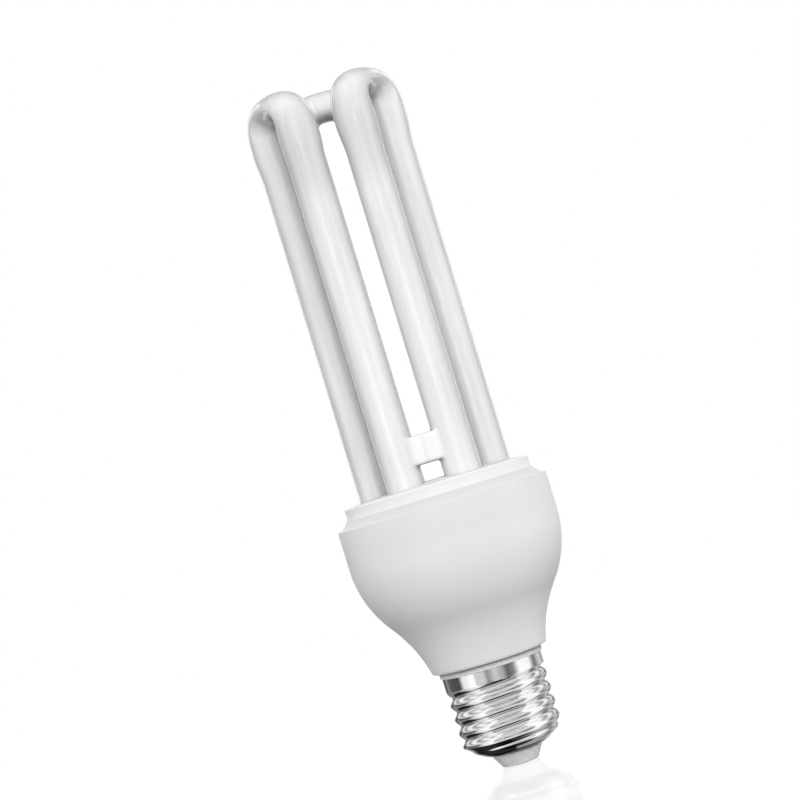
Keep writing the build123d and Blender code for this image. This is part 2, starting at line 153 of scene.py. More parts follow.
# Upper housing
FLANGE_THICKNESS = 1.5
COVE_HEIGHT = 2.5
COVE_SAG = 0.12
COLLAR_R = 24.25
COLLAR_ROUND = 0.5
CAP_PLATE = 1.6
CAP_WALL = 1.5
CAP_FIT = 0.1
HOLE_GAP = 0.15
HOLE_BREAK = 0.1
EDGE_ROUND = 0.3
DOME_DROP = 0.65
DOME_CREST = 0.5

# Insulator and contact
INSULATOR_TIP_R = 4.7
INSULATOR_TIP_ROUND = 0.35
INSULATOR_ROOT_R = 6.65
INSULATOR_ROOT_ROUND = 0.1
INSULATOR_FIT = 0.02
CONTACT_R = 3.3
CONTACT_RISE = 0.03
CONTACT_ROUND = 0.15
CONTACT_FLAT_R = 1.3
CONTACT_FLAT_ROUND = 0.3
CONTACT_DIMPLE = 0.06
CONTACT_STEM_R = 1.2
CONTACT_STEM_WALL = 0.7
CONTACT_STEM_ROUND = 0.1
CONTACT_PROUD = 0.25
CONTACT_PLATE = 0.55
CONTACT_FIT = 0.05
SEAT_ROUND = 0.05

# Facets, and how corners are rounded and shaded
TUBE_AROUND = 48
LEG_STEPS = 9
SWELL_STEPS = 8
BEND_STEPS = 30
BRIDGE_STEPS = 8
SHELL_COLUMNS = 180
ROWS_PER_PITCH = 24
HOUSING_COLUMNS = 128
HOLE_COLUMNS = 40
INSULATOR_COLUMNS = 96
CONTACT_COLUMNS = 64
NECK_STEPS = 16
COVE_STEPS = 8
COLLAR_STEPS = 5
CORNER_STEPS = 4
CORNER_SHARE = 0.45
SHARP_ANGLE = math.radians(40)
TINY = 1e-4


# Mesh helpers

def piece(name, verts, faces, material, replaced):
    """A smooth mesh piece, in millimetres, that stands for one CAD node."""
    mesh = bpy.data.meshes.new(name)
    mesh.from_pydata([Vector(v) * MM for v in verts], [], faces)
    mesh.polygons.foreach_set("use_smooth", [True] * len(mesh.polygons))
    mesh.set_sharp_from_angle(angle=SHARP_ANGLE)
    mesh.materials.append(material)
    mesh.update()
    body = bpy.data.objects.new(name, mesh)
    bpy.context.scene.collection.objects.link(body)
    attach(body, "root")
    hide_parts(replaced)
    return body


def mix(first, last, t):
    return first + (last - first) * t


def smooth(start, end, value):
    """Rises softly from nought at the start to one at the end."""
    t = min(max((value - start) / (end - start), 0.0), 1.0)
    return t * t * (3 - 2 * t)


def curve(first, pull, last, t):
    """A point on a curve that leaves and arrives in the direction of the pull."""
    return first * (1 - t) ** 2 + pull * (2 * t * (1 - t)) + last * t ** 2


def polar(radius, angle):
    return Vector((radius * math.cos(angle), radius * math.sin(angle), 0))


def squared(angle, square):
    """A point on a unit circle that is squared off where the squareness is above two."""
    c, s = math.cos(angle), math.sin(angle)
    return math.copysign(abs(c) ** (2 / square), c), math.copysign(abs(s) ** (2 / square), s)


def rounded(points):
    """A closed profile with its corners turned into arcs. A point is (radius, height, corner round)."""
    out = []
    for i, (r, z, size) in enumerate(points):
        here = Vector((r, z))
        before = Vector(points[i - 1][:2]) - here
        after = Vector(points[(i + 1) % len(points)][:2]) - here
        reach = 0
        if size:
            half = before.angle(after, math.pi) / 2
            reach = min(size / math.tan(half), before.length * CORNER_SHARE, after.length * CORNER_SHARE)
        if reach < TINY:
            out.append(here)
            continue
        start = here + before.normalized() * reach
        end = here + after.normalized() * reach
        out += [curve(start, here, end, k / CORNER_STEPS) for k in range(CORNER_STEPS + 1)]
    return out


def grid_faces(columns, rows, wrap_columns, start=0):
    """Quads over a grid of vertices that is stored column by column, each column a ring."""
    faces = []
    for i in range(columns if wrap_columns else columns - 1):
        a, b = start + i * rows, start + (i + 1) % columns * rows
        for k in range(rows):
            n = (k + 1) % rows
            faces.append((a + k, b + k, b + n, a + n))
    return faces


def tube_faces(rings, start):
    """Faces of a tube that is closed at both ends."""
    last = start + (rings - 1) * TUBE_AROUND
    first_end = tuple(range(start, start + TUBE_AROUND))
    last_end = tuple(reversed(range(last, last + TUBE_AROUND)))
    return grid_faces(rings, TUBE_AROUND, False, start) + [first_end, last_end]


def turned(profile, angle):
    """A profile's points, turned about the bulb's axis."""
    c, s = math.cos(angle), math.sin(angle)
    return [(r * c, r * s, z) for r, z in profile]


def lathe(profile, columns):
    """Vertices and faces of a closed profile turned all the way about the bulb's axis."""
    verts = []
    for i in range(columns):
        verts += turned(profile, TURN * i / columns)
    return verts, grid_faces(columns, len(profile), True)


# Discharge tube: a ring of points around each station of three U paths, and two flared bridges

def arch(phi, half_span, rise, square):
    """A point on an arch over the top of the straight legs."""
    c, s = squared(phi, square)
    return Vector((-half_span * c, Z_APEX - BEND_RISE + rise * s))


def leg_rows(side, degrees):
    """A leg from its end up to the bend: place along the plane, height, half widths in and across the plane."""
    x = side * LEG_CIRCLE_R * math.sin(LEG_STEP / 2)
    z_end = Z_PRESS_END + PRESS_DEPTH
    z_leg = z_end + LEG_END_CHAMFER
    z_swell = Z_APEX - BEND_RISE - SWELL_LENGTH
    end_r = LEG_R - LEG_END_CHAMFER
    rows = []
    if round(degrees) in ELECTRODE_DEGREES:
        rows += [(x, z, PRESS_WIDTH / 2, PRESS_THICKNESS / 2) for z in (Z_PRESS_END, z_end)]
    rows += [(x, z_end, end_r, end_r), (x, z_leg, LEG_R, LEG_R)]
    rows += [(x, mix(z_leg, z_swell, (k + 1) / LEG_STEPS), LEG_R, LEG_R) for k in range(LEG_STEPS)]
    for k in range(1, SWELL_STEPS + 1):
        t = smooth(0, SWELL_STEPS, k)
        inner = mix(LEG_R, BEND_INNER, t)
        outer = mix(LEG_R, BEND_OUTER, t)
        rows.append((x + side * (outer - inner) / 2, z_swell + SWELL_LENGTH * k / SWELL_STEPS,
                     (outer + inner) / 2, mix(LEG_R, BEND_WIDE, t)))
    return rows


def tube_stations(angle, bend_keel):
    """Stations along one U: middle, outward direction, half widths in and across its plane, and keel."""
    out = polar(1, angle)
    along = polar(1, angle + math.pi / 2)
    middle = out * LEG_CIRCLE_R * math.cos(LEG_STEP / 2)
    half = LEG_CIRCLE_R * math.sin(LEG_STEP / 2)

    def leg(side):
        degrees = math.degrees(angle + side * LEG_STEP / 2) % 360
        return [(middle + along * x + UP * z, along * side, in_plane, across, 1)
                for x, z, in_plane, across in leg_rows(side, degrees)]

    stations = leg(-1)
    for k in range(1, BEND_STEPS):
        phi = math.pi * k / BEND_STEPS
        outside = arch(phi, half + BEND_OUTER, BEND_RISE, BEND_SQUARE)
        inside = arch(phi, half - BEND_INNER, BEND_RISE - APEX_THICKNESS, ARCH_SQUARE)
        centre = (outside + inside) / 2
        toward = (outside - inside).normalized()
        stations.append((middle + along * centre.x + UP * centre.y, along * toward.x + UP * toward.y,
                         (outside - inside).length / 2, BEND_WIDE,
                         mix(1, bend_keel, smooth(*KEEL_RUN, math.sin(phi)))))
    stations += reversed(leg(1))
    return out, stations


def bridge(angle, verts, faces):
    """A short cross tube that runs into the legs with a soft fillet."""
    out = polar(1, angle)
    along = polar(1, angle + math.pi / 2)
    half = LEG_CIRCLE_R * math.sin(LEG_STEP / 2)
    middle = out * LEG_CIRCLE_R * math.cos(LEG_STEP / 2) + UP * (Z_CAP + BRIDGE_RISE)

    def leg_face(depth):
        """Just inside the leg's surface, beside a point at this depth."""
        return half - math.sqrt(LEG_R ** 2 - depth ** 2) + BRIDGE_SINK

    rows = [(-1, k) for k in range(BRIDGE_STEPS + 1)] + [(1, k) for k in range(BRIDGE_STEPS, -1, -1)]
    start = len(verts)
    for side, k in rows:
        t = k / BRIDGE_STEPS
        flare = (1 - t) ** 2
        for i in range(TUBE_AROUND):
            c, s = squared(TURN * i / TUBE_AROUND, BRIDGE_SQUARE)
            corner = leg_face(BRIDGE_DEPTH_R * s)
            root = leg_face((BRIDGE_DEPTH_R + BRIDGE_DEPTH_FILLET) * s)
            x = curve(root, corner, max(corner - BRIDGE_FILLET, 0), t)
            depth = (BRIDGE_DEPTH_R + BRIDGE_DEPTH_FILLET * flare) * s
            height = (BRIDGE_R + BRIDGE_FILLET * flare) * c
            verts.append(middle + along * side * x + out * depth + UP * height)
    faces += tube_faces(len(rows), start)


def discharge_tube(material):
    """Three bent tubes and two bridges, as one piece."""
    verts, faces = [], []
    for degrees, bend_keel in zip(BEND_DEGREES, BEND_KEELS):
        across, stations = tube_stations(math.radians(degrees), bend_keel)
        start = len(verts)
        for middle, outward, in_plane, wide, keel in stations:
            for i in range(TUBE_AROUND):
                c, s = math.cos(TURN * i / TUBE_AROUND), math.sin(TURN * i / TUBE_AROUND)
                if c < 0:
                    c = -abs(c) ** keel
                verts.append(middle + outward * in_plane * c + across * wide * s)
        faces += tube_faces(len(stations), start)
    for degrees in BRIDGE_DEGREES:
        bridge(math.radians(degrees), verts, faces)
    return piece("glass_tubes", verts, faces, material, "discharge_tube")


# Screw shell: one rolled sheet whose radius follows the helix, rounded off at the bottom

def thread_radius(angle, z):
    """Radius of the shell's outside: the round foot, the thread and the smooth skirt."""
    turn = (z - THREAD_PHASE) / THREAD_PITCH - angle / TURN
    wave = (0.5 + 0.5 * math.cos(TURN * turn)) ** THREAD_ROUND
    height = z - Z_SHELL
    rise = max(1 - height / FOOT_HEIGHT, 0)
    foot = (1 - rise ** FOOT_ROUND) ** (1 / FOOT_ROUND)
    crest = mix(INSULATOR_ROOT_R, CREST_R, foot)
    root = crest - THREAD_DEPTH * smooth(FOOT_GROOVE, FOOT_HEIGHT, height)
    z_skirt = Z_SKIRT_TOP - SKIRT_HEIGHT - SKIRT_LEAD * (1 - math.cos(angle)) / 2
    skirt = mix(root, SKIRT_R, smooth(z_skirt - SKIRT_RUN_IN, z_skirt, z))
    return max(mix(root, crest, wave), skirt)


def screw_shell(material):
    """Rows of vertices climb with the thread: where the columns close, a row meets the one a pitch higher."""
    bore = CREST_R - THREAD_DEPTH - SHELL_SHEET
    hole = INSULATOR_ROOT_R - SHELL_SHEET
    skirt_bore = SKIRT_R - SHELL_SHEET
    z_skirt = Z_SKIRT_TOP - SKIRT_HEIGHT
    z_sheet = Z_SHELL + SHELL_SHEET
    inner = [(skirt_bore, Z_SKIRT_TOP), (skirt_bore, z_skirt + SKIRT_STEP), (bore, z_skirt),
             (bore, Z_SHELL + FOOT_HEIGHT), (hole + FOOT_LIP, z_sheet), (hole, z_sheet), (hole, Z_SHELL)]
    z_first = THREAD_PHASE - START_TURNS * THREAD_PITCH
    rows = ROWS_PER_PITCH * math.ceil((Z_SKIRT_TOP - z_first) / THREAD_PITCH) + 1
    verts, rings = [], []
    for i in range(SHELL_COLUMNS):
        angle = TURN * i / SHELL_COLUMNS
        ring = []
        for k in range(rows):
            climbed = z_first + THREAD_PITCH * (k / ROWS_PER_PITCH + i / SHELL_COLUMNS)
            z = min(max(climbed, Z_SHELL), Z_SKIRT_TOP)
            if not ring or z > verts[ring[-1]].z:
                verts.append(polar(thread_radius(angle, z), angle) + UP * z)
            ring.append(len(verts) - 1)
        for r, z in inner:
            verts.append(polar(r, angle) + UP * z)
            ring.append(len(verts) - 1)
        rings.append(ring + ring[:1])
    faces = []
    for i, a in enumerate(rings):
        b = rings[(i + 1) % SHELL_COLUMNS]
        climb = ROWS_PER_PITCH if i == SHELL_COLUMNS - 1 else 0
        for k in range(len(a) - 1):
            lower = k + min(climb, max(rows - 1 - k, 0))
            upper = k + 1 + min(climb, max(rows - 2 - k, 0))
            corners = dict.fromkeys((a[k], b[lower], b[upper], a[k + 1]))
            if len(corners) > 2:
                faces.append(tuple(corners))
    return piece("threaded_shell", verts, faces, material, "screw_shell")


# Housing: cup and cap

def cup_profile():
    """The ring, the corner under the neck, two arcs that make the S-curve, the rim and the inside."""
    neck_z = Z_SKIRT_TOP + RING_HEIGHT
    flare_z = neck_z + NECK_CORNER
    arcs = NECK_ARC_R + BODY_ARC_R
    lean = math.acos((NECK_ARC_R * math.cos(NECK_FLARE) + BODY_ARC_R - BODY_R + NECK_R) / arcs)
    turn_r = NECK_R + NECK_ARC_R * (math.cos(NECK_FLARE) - math.cos(lean))
    turn_z = flare_z + NECK_ARC_R * (math.sin(lean) - math.sin(NECK_FLARE))
    shoulder_z = turn_z + BODY_ARC_R * math.sin(lean)
    bore = CREST_R - THREAD_DEPTH - SHELL_SHEET - STUB_FIT
    stub_bore = bore - STUB_WALL
    skirt_bore = SKIRT_R - SHELL_SHEET - STUB_FIT
    z_skirt = Z_SKIRT_TOP - SKIRT_HEIGHT
    groove_r = RING_R - GROOVE_DEPTH
    inside_z = flare_z + CUP_WALL * math.sin(NECK_FLARE)
    ledge_z = Z_RIM - FLANGE_THICKNESS
    lip_r = BODY_R - RIM_LIP
    body_bore = BODY_R - CUP_WALL
    points = [
        (stub_bore, Z_STUB, 0), (bore, Z_STUB, 0), (bore, z_skirt, 0),
        (skirt_bore, z_skirt + THREAD_DEPTH, 0), (skirt_bore, Z_SKIRT_TOP, 0),
        (RING_R, Z_SKIRT_TOP, RING_ROUND), (RING_R, neck_z - GROOVE_FOOT, GROOVE_EDGE_ROUND),
        (groove_r, neck_z - GROOVE_TOP, GROOVE_ROUND), (groove_r, neck_z, GROOVE_ROUND),
        (NECK_R - NECK_INSET, neck_z, NECK_ROUND),
    ]
    for k in range(NECK_STEPS):
        a = mix(NECK_FLARE, lean, k / NECK_STEPS)
        points.append((NECK_R + NECK_ARC_R * (math.cos(NECK_FLARE) - math.cos(a)),
                       flare_z + NECK_ARC_R * (math.sin(a) - math.sin(NECK_FLARE)), 0))
    for k in range(NECK_STEPS + 1):
        a = lean * (1 - k / NECK_STEPS)
        points.append((BODY_R - BODY_ARC_R * (1 - math.cos(a)), shoulder_z - BODY_ARC_R * math.sin(a), 0))
    points += [
        (BODY_R, Z_RIM, EDGE_ROUND), (lip_r, Z_RIM, LIP_ROUND), (lip_r, ledge_z, 0),
        (body_bore, ledge_z, 0), (body_bore, Z_BOARD, 0), (body_bore - BOARD_LEDGE, Z_BOARD, 0),
        (turn_r - CUP_WALL * math.cos(lean), turn_z + CUP_WALL * math.sin(lean), 0),
        (NECK_R - CUP_WALL * math.cos(NECK_FLARE), inside_z, 0), (stub_bore, inside_z, 0),
    ]
    return rounded(points)


def lower_housing(material):
    verts, faces = lathe(cup_profile(), HOUSING_COLUMNS)
    return piece("ballast_cup", verts, faces, material, "lower_housing")


def dome(r):
    """Height of the cap's shallow dome at a distance from the axis."""
    return Z_CAP + DOME_CREST - (DOME_DROP + DOME_CREST) * (r / COLLAR_R) ** 2


def cap_profile():
    """The cap's turned rim: from the underside of its plate, round the skirt and the cove, to its top."""
    skirt_r = BODY_R - CUP_WALL - CAP_FIT
    skirt_bore = skirt_r - CAP_WALL
    collar_bore = COLLAR_R - CAP_WALL
    ledge_z = Z_RIM - FLANGE_THICKNESS
    points = [(collar_bore, Z_CAP - CAP_PLATE), (collar_bore, ledge_z), (skirt_bore, ledge_z),
              (skirt_bore, Z_BOARD_TOP), (skirt_r, Z_BOARD_TOP), (skirt_r, ledge_z), (FLANGE_R, ledge_z)]
    cove_foot = Vector((FLANGE_R, Z_RIM))
    cove_top = Vector((COLLAR_R, Z_COLLAR))
    pull = (cove_foot + cove_top) / 2 - Vector((2 * COVE_SAG, 2 * COVE_SAG))
    points += [curve(cove_foot, pull, cove_top, k / COVE_STEPS) for k in range(COVE_STEPS + 1)]
    for k in range(COLLAR_STEPS + 1):
        a = TURN / 4 * k / COLLAR_STEPS
        points.append((COLLAR_R - COLLAR_ROUND * (1 - math.cos(a)),
                       dome(COLLAR_R) - COLLAR_ROUND * (1 - math.sin(a))))
    return points


def hole_column(bm, centre, out):
    """Vertices down the side of a tube hole, from its rounded edge in the dome to the plate's underside."""
    hole_r = LEG_R + HOLE_GAP
    column = []
    for r, depth in ((hole_r + EDGE_ROUND, 0), (hole_r + HOLE_BREAK, HOLE_BREAK), (hole_r, EDGE_ROUND)):
        spot = centre + out * r
        column.append(bm.verts.new((spot.x, spot.y, dome(spot.length) - depth)))
    spot = centre + out * hole_r
    column.append(bm.verts.new((spot.x, spot.y, Z_CAP - CAP_PLATE)))
    return column


def skin(bm, columns):
    """Quads between columns of vertices that stand in a ring; reversed columns face inward."""
    for i, a in enumerate(columns):
        b = columns[(i + 1) % len(columns)]
        for k in range(len(a) - 1):
            bm.faces.new((a[k], b[k], b[k + 1], a[k + 1]))


def upper_housing(material):
    """The cap: a turned rim and a plate whose top and underside are filled around the six holes."""
    bm = bmesh.new()
    profile = cap_profile()
    rim = []
    for i in range(HOUSING_COLUMNS):
        rim.append([bm.verts.new(point) for point in turned(profile, TURN * i / HOUSING_COLUMNS)])
    skin(bm, rim)
    loops_top, loops_under = [], []
    for n in range(LEG_COUNT):
        centre = polar(LEG_CIRCLE_R, n * LEG_STEP)
        hole = [hole_column(bm, centre, polar(1, TURN * i / HOLE_COLUMNS)) for i in range(HOLE_COLUMNS)]
        skin(bm, hole[::-1])
        loops_top.append([column[0] for column in hole])
        loops_under.append([column[-1] for column in hole])
    loops_top.append([column[-1] for column in rim])
    loops_under.append([column[0] for column in rim])
    for loops in (loops_top, loops_under):
        edges = []
        for loop in loops:
            edges += [bm.edges.get(pair) for pair in zip(loop, loop[1:] + loop[:1])]
        bmesh.ops.triangle_fill(bm, use_beauty=True, edges=edges)
    bmesh.ops.recalc_face_normals(bm, faces=bm.faces)
    bm.verts.index_update()
    verts = [tuple(v.co) for v in bm.verts]
    faces = [[v.index for v in f.verts] for f in bm.faces]
    bm.free()
    return piece("cap_with_collar", verts, faces, material, "upper_housing")


# Insulator and contact

def base_insulator(material):
    neck = INSULATOR_ROOT_R - SHELL_SHEET - INSULATOR_FIT
    collar = INSULATOR_ROOT_R + SHELL_SHEET
    stem = CONTACT_STEM_R + CONTACT_FIT
    seat = CONTACT_R + CONTACT_FIT
    z_sheet = Z_SHELL + SHELL_SHEET
    points = [(stem, CONTACT_PLATE, 0), (seat, CONTACT_PLATE, 0), (seat, CONTACT_PROUD, SEAT_ROUND),
              (INSULATOR_TIP_R, CONTACT_PROUD, INSULATOR_TIP_ROUND),
              (INSULATOR_ROOT_R, Z_SHELL, INSULATOR_ROOT_ROUND), (neck, Z_SHELL, 0), (neck, z_sheet, 0),
              (collar, z_sheet, 0), (collar, Z_INSULATOR_TOP, 0), (stem, Z_INSULATOR_TOP, 0)]
    verts, faces = lathe(rounded(points), INSULATOR_COLUMNS)
    return piece("insulator_cone", verts, faces, material, "base_insulator")


def centre_contact(material):
    bore = CONTACT_STEM_R - CONTACT_STEM_WALL
    points = [(0.0, CONTACT_DIMPLE, 0), (CONTACT_FLAT_R, 0.0, CONTACT_FLAT_ROUND),
              (CONTACT_R, CONTACT_RISE, CONTACT_ROUND), (CONTACT_R, CONTACT_PLATE, SEAT_ROUND),
              (CONTACT_STEM_R, CONTACT_PLATE, 0), (CONTACT_STEM_R, Z_CONTACT_TOP, CONTACT_STEM_ROUND),
              (bore, Z_CONTACT_TOP, CONTACT_STEM_ROUND), (bore, CONTACT_PLATE, 0), (0.0, CONTACT_PLATE, 0)]
    verts, faces = lathe(rounded(points), CONTACT_COLUMNS)
    return piece("contact_plate", verts, faces, material, "centre_contact")


# Node helpers

def grey(tone):
    return tone, tone, tone


class Graph:
    """A node tree with short ways to add the nodes that are used here."""

    def __init__(self, tree):
        self.nodes = tree.nodes
        self.links = tree.links

    def calc(self, operation, first, second):
        node = self.nodes.new("ShaderNodeMath")
        node.operation = operation
        for socket, value in zip(node.inputs, (first, second)):
            if isinstance(value, (int, float)):
                socket.default_value = value
            else:
                self.links.new(value, socket)
        return node.outputs["Value"]

    def span(self, value, source, target):
        """Maps a value from one range to another and holds it at the ends."""
        node = self.nodes.new("ShaderNodeMapRange")
        node.inputs["From Min"].default_value, node.inputs["From Max"].default_value = source
        node.inputs["To Min"].default_value, node.inputs["To Max"].default_value = target
        self.links.new(value, node.inputs["Value"])
        return node.outputs["Result"]

    def ramp(self, value, stops, interpolation):
        """Colours along a value from nought to one."""
        node = self.nodes.new("ShaderNodeValToRGB")
        node.color_ramp.interpolation = interpolation
        marks = node.color_ramp.elements
        while len(marks) < len(stops):
            marks.new(0.5)
        for mark, (place, colour) in zip(marks, stops):
            mark.position = place
            mark.color = (*colour, 1)
        self.links.new(value, node.inputs["Fac"])
        return node.outputs["Color"]

    def tones(self, value, stops):
        """Soft greys along a value: a stop is a value and its tone."""
        first, last = stops[0][0], stops[-1][0]
        shares = [((stop - first) / (last - first), grey(tone)) for stop, tone in stops]
        return self.ramp(self.span(value, (first, last), (0, 1)), shares, "EASE")

    def axes(self, coordinates):
        """The X, Y and Z of one kind of texture coordinates."""
        node = self.nodes.new("ShaderNodeSeparateXYZ")
        self.links.new(self.nodes.new("ShaderNodeTexCoord").outputs[coordinates], node.inputs["Vector"])
        return node.outputs

    def seen(self):
        """One for rays that show the background: from the camera, mirrored or passed on."""
        path = self.nodes.new("ShaderNodeLightPath").outputs
        first = self.calc("MAXIMUM", path["Is Camera Ray"], path["Is Glossy Ray"])
        return self.calc("MAXIMUM", first, path["Is Transmission Ray"])


# Materials

# The middle range of a noise, which is spread over a material's colours and gloss
NOISE_RANGE = (0.3, 0.7)


class Shader(Graph):
    """A Principled material with helpers for its procedural inputs."""

    def __init__(self, name, **values):
        self.material = bpy.data.materials.new(name)
        self.material.use_nodes = True
        super().__init__(self.material.node_tree)
        self.surface = self.nodes["Principled BSDF"]
        for socket, value in values.items():
            self.surface.inputs[socket.replace("_", " ")].default_value = value

    def noise(self, scale, detail, stretch=(1, 1, 1), distortion=0.0):
        """Noise in the object's coordinates in metres, stretched along the axes."""
        mapping = self.nodes.new("ShaderNodeMapping")
        mapping.inputs["Scale"].default_value = stretch
        coordinates = self.nodes.new("ShaderNodeTexCoord")
        self.links.new(coordinates.outputs["Object"], mapping.inputs["Vector"])
        noise = self.nodes.new("ShaderNodeTexNoise")
        noise.inputs["Scale"].default_value = scale
        noise.inputs["Detail"].default_value = detail
        noise.inputs["Distortion"].default_value = distortion
        self.links.new(mapping.outputs["Vector"], noise.inputs["Vector"])
        return noise.outputs["Fac"]

    def colours(self, factor, first, second):
        """Blends two colours over the surface."""
        blend = self.ramp(factor, tuple(zip(NOISE_RANGE, (first, second))), "LINEAR")
        self.links.new(blend, self.surface.inputs["Base Color"])

    def shade_by_height(self, stops, least=()):
        """Paints shade: multiplies the colour by tones at heights, in millimetres.

        Two pairs of depth and tone, where they are given, are the least that the tone may be.
        """
        axes = self.axes("Object")
        tone = self.tones(axes["Z"], [(z * MM, value) for z, value in stops])
        if least:
            depths, limits = zip(*least)
            limit = self.span(axes["Y"], [y * MM for y in depths], limits)
            tone = self.calc("MAXIMUM", tone, limit)
        colour = self.surface.inputs["Base Color"]
        shade = self.nodes.new("ShaderNodeVectorMath")
        shade.operation = "MULTIPLY"
        self.links.new(colour.links[0].from_socket, shade.inputs[0])
        self.links.new(tone, shade.inputs[1])
        self.links.new(shade.outputs["Vector"], colour)

    def roughness(self, factor, smoothest, roughest):
        spread = self.span(factor, NOISE_RANGE, (smoothest, roughest))
        self.links.new(spread, self.surface.inputs["Roughness"])

    def bump(self, factor, height):
        """Relief of a height in metres."""
        bump = self.nodes.new("ShaderNodeBump")
        bump.inputs["Distance"].default_value = height
        self.links.new(factor, bump.inputs["Height"])
        self.links.new(bump.outputs["Normal"], self.surface.inputs["Normal"])


# Painted shade by height, in millimetres. The tubes are painted greyer where they narrow below the bends, where
# the concave neck is in shade, and a little greyer over their upper half, which takes more light; these are
# distances below their apex
GLASS_LIGHT_SHADE = 0.945
GLASS_DEEP_SHADE = 0.815
FADE_LOW = 73
FADE_HIGH = 34
NARROW_LOW = 22
NARROW_HIGH = 9
CROWN_LOW = 3
GLASS_SHADE_TONES = (
    (Z_CAP, 1), (Z_APEX - FADE_LOW, 1), (Z_APEX - FADE_HIGH, GLASS_LIGHT_SHADE), (Z_APEX - NARROW_LOW, GLASS_DEEP_SHADE),
    (Z_APEX - NARROW_HIGH, GLASS_DEEP_SHADE), (Z_APEX - CROWN_LOW, GLASS_LIGHT_SHADE),
)
# The least tones by depth keep the deeper painted shade to the legs at the front
FRONT_DEPTH = -12
LIGHT_SHADE_DEPTH = -5
GLASS_SHADE_LEAST = ((FRONT_DEPTH, GLASS_DEEP_SHADE), (LIGHT_SHADE_DEPTH, GLASS_LIGHT_SHADE))
# Painted shade on the cap: it is greyer in its upward-facing cove, up to just below the collar's foot, so that
# the cove takes no more light than the body, and greyer on its dome, a painted shadow between the tubes
COVE_SHADE_TONE = 0.82
COVE_SHADE_END = 0.5
COVE_CLEAR = 0.2
DOME_SHADE_TONE = 0.72
DOME_BLEND = 0.05
Z_COLLAR = Z_RIM + COVE_HEIGHT
Z_DOME = Z_CAP - DOME_DROP
CAP_SHADE_TONES = (
    (Z_BOARD, COVE_SHADE_TONE), (Z_COLLAR - COVE_SHADE_END, COVE_SHADE_TONE), (Z_COLLAR - COVE_CLEAR, 1),
    (Z_DOME - DOME_BLEND, 1), (Z_DOME + DOME_BLEND, DOME_SHADE_TONE), (Z_CAP + DOME_CREST, DOME_SHADE_TONE),
)
# Painted shade on the cup: it is greyer toward its rim, where the shoulder faces up to the light, and most on
# the rim's upturned edge, in place of the bright line that it would catch
RIM_SHADE_TONE = 0.965
RIM_CLEAR = 13
RIM_SHADE_FROM = 5
RIM_EDGE_SHADE = 0.84
CUP_SHADE_TONES = (
    (Z_STUB, 1), (Z_RIM - RIM_CLEAR, 1), (Z_RIM - RIM_SHADE_FROM, RIM_SHADE_TONE), (Z_RIM - EDGE_ROUND, RIM_SHADE_TONE),
    (Z_RIM, RIM_EDGE_SHADE),
)
# Painted dark reflection: the shell is nearly black where its foot turns in, in place of the dark below that it
# would mirror
FOOT_DARK_REFLECTION = 0.05
FOOT_DARK_TO = 1.0
FOOT_CLEAR = 1.4
SHELL_DARK_TONES = (
    (Z_SHELL, FOOT_DARK_REFLECTION), (Z_SHELL + FOOT_DARK_TO, FOOT_DARK_REFLECTION), (Z_SHELL + FOOT_CLEAR, 1), (Z_SKIRT_TOP, 1),
)


def opal_glass():
    """Glass with a white powder coating that is faintly streaked along the legs."""
    s = Shader("opal_glass", Roughness=0.09, IOR=1.6, Coat_Weight=1.0, Coat_Roughness=0.0, Coat_IOR=1.05,
               Coat_Tint=(*grey(0.83), 1))
    streaks = s.noise(scale=420, detail=6, stretch=(1, 1, 0.07), distortion=0.6)
    s.colours(streaks, grey(0.86), grey(0.985))
    # Painted shade: the coating is greyed where the tubes narrow below the bends, and a little over their upper
    # half
    s.shade_by_height(GLASS_SHADE_TONES, GLASS_SHADE_LEAST)
    s.bump(s.noise(scale=160, detail=2, stretch=(1, 1, 0.15)), height=0.00008)
    return s.material


def white_plastic(name, tones):
    """Satin moulded housing with a very fine spark-eroded grain, and painted shade that changes with height."""
    s = Shader(name, Specular_IOR_Level=0.4, Diffuse_Roughness=0.8)
    s.colours(s.noise(scale=60, detail=4), grey(0.835), (0.86, 0.86, 0.858))
    s.shade_by_height(tones)
    s.roughness(s.noise(scale=900, detail=3), 0.42, 0.55)
    s.bump(s.noise(scale=5200, detail=3), height=0.000012)
    return s.material


def bright_nickel():
    """Nickel-plated sheet with fine rolling marks around it."""
    s = Shader("bright_nickel", Metallic=1.0)
    s.colours(s.noise(scale=300, detail=4, stretch=(1, 1, 6)), (0.75, 0.75, 0.745), (0.85, 0.85, 0.845))
    # Painted dark reflection on the foot, by height
    s.shade_by_height(SHELL_DARK_TONES)
    s.roughness(s.noise(scale=700, detail=5, stretch=(1, 1, 10)), 0.06, 0.11)
    s.bump(s.noise(scale=1500, detail=4, stretch=(1, 1, 5)), height=0.000002)
    return s.material


def grey_insulator():
    """Moulded insulator with a low gloss."""
    s = Shader("grey_insulator", Specular_IOR_Level=0.45)
    s.colours(s.noise(scale=180, detail=4), grey(0.69), grey(0.74))
    s.roughness(s.noise(scale=600, detail=3), 0.3, 0.45)
    s.bump(s.noise(scale=2600, detail=3), height=0.00001)
    return s.material


# How far the colour and the roughness of a small part vary, darkest and smoothest first
COLOUR_SHARES = (0.85, 1.12)
ROUGH_SHARES = (0.8, 1.2)


def mottled(name, colour, rough, metal):
    """A finish for a small part: colour, gloss and grain vary a little."""
    s = Shader(name, Metallic=metal)
    darkest, lightest = [[min(c * share, 1) for c in colour] for share in COLOUR_SHARES]
    s.colours(s.noise(scale=500, detail=4), darkest, lightest)
    s.roughness(s.noise(scale=1000, detail=3), *[rough * share for share in ROUGH_SHARES])
    s.bump(s.noise(scale=2000, detail=3), height=0.00002)
    return s.material


